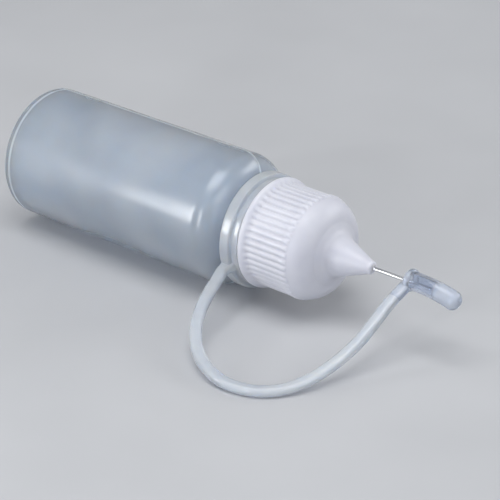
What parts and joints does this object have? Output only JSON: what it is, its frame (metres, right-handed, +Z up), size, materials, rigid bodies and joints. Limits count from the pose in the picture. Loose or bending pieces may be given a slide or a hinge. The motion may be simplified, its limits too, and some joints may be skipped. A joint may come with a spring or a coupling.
{
  "type": "glue applicator bottle",
  "caption": "Squeeze bottle with a screw cap that ends in a fine steel needle, and a soft tethered sheath that closes the needle.",
  "frame": {"origin": "on the surface that the bottle lies on, under the middle of the stretch from the bottle's base to the needle's end", "axes": "+X along the bottle's axis from the base to the needle, +Z up, and the tether's loop towards -Y"},
  "size_m": [0.0865, 0.0403, 0.022],
  "materials": {
    "bottle_plastic": "thin milky translucent blow-moulded polyethylene, satin",
    "cap_plastic": "white semi-translucent moulded plastic, satin",
    "needle_steel": "polished stainless steel tube",
    "tether_plastic": "soft translucent moulded polyethylene, satin"
  },
  "bodies": {
    "bottle": {"bottle": "bottle_plastic"},
    "needle": {"needle": "needle_steel"},
    "cap": {"cap": "cap_plastic"},
    "tether": {"tether_ring": "tether_plastic", "tether_strap": "tether_plastic"},
    "sheath": {"needle_sheath": "tether_plastic"}
  },
  "joints": [
    {"name": "cap_travel", "type": "slide", "parent": "bottle", "child": "needle", "axis": [1, 0, 0], "range_m": [0, 0.00451]},
    {"name": "cap_turn", "type": "hinge", "parent": "needle", "child": "cap", "pos_m": [0, 0, 0.01098], "axis": [1, 0, 0], "range_deg": [0, 540]},
    {"name": "ring_turn", "type": "hinge", "parent": "needle", "child": "tether", "pos_m": [0, 0, 0.01098], "axis": [-1, 0, 0], "continuous": true},
    {"name": "sheath_pull", "type": "slide", "parent": "tether", "child": "sheath", "axis": [1, 0, 0], "range_m": [0, 0.012], "deforming": ["tether_strap"]}
  ],
  "couplings": [
    {"joint": "cap_travel", "follows": "cap_turn", "m_per_rad": 0.00047746}
  ]
}
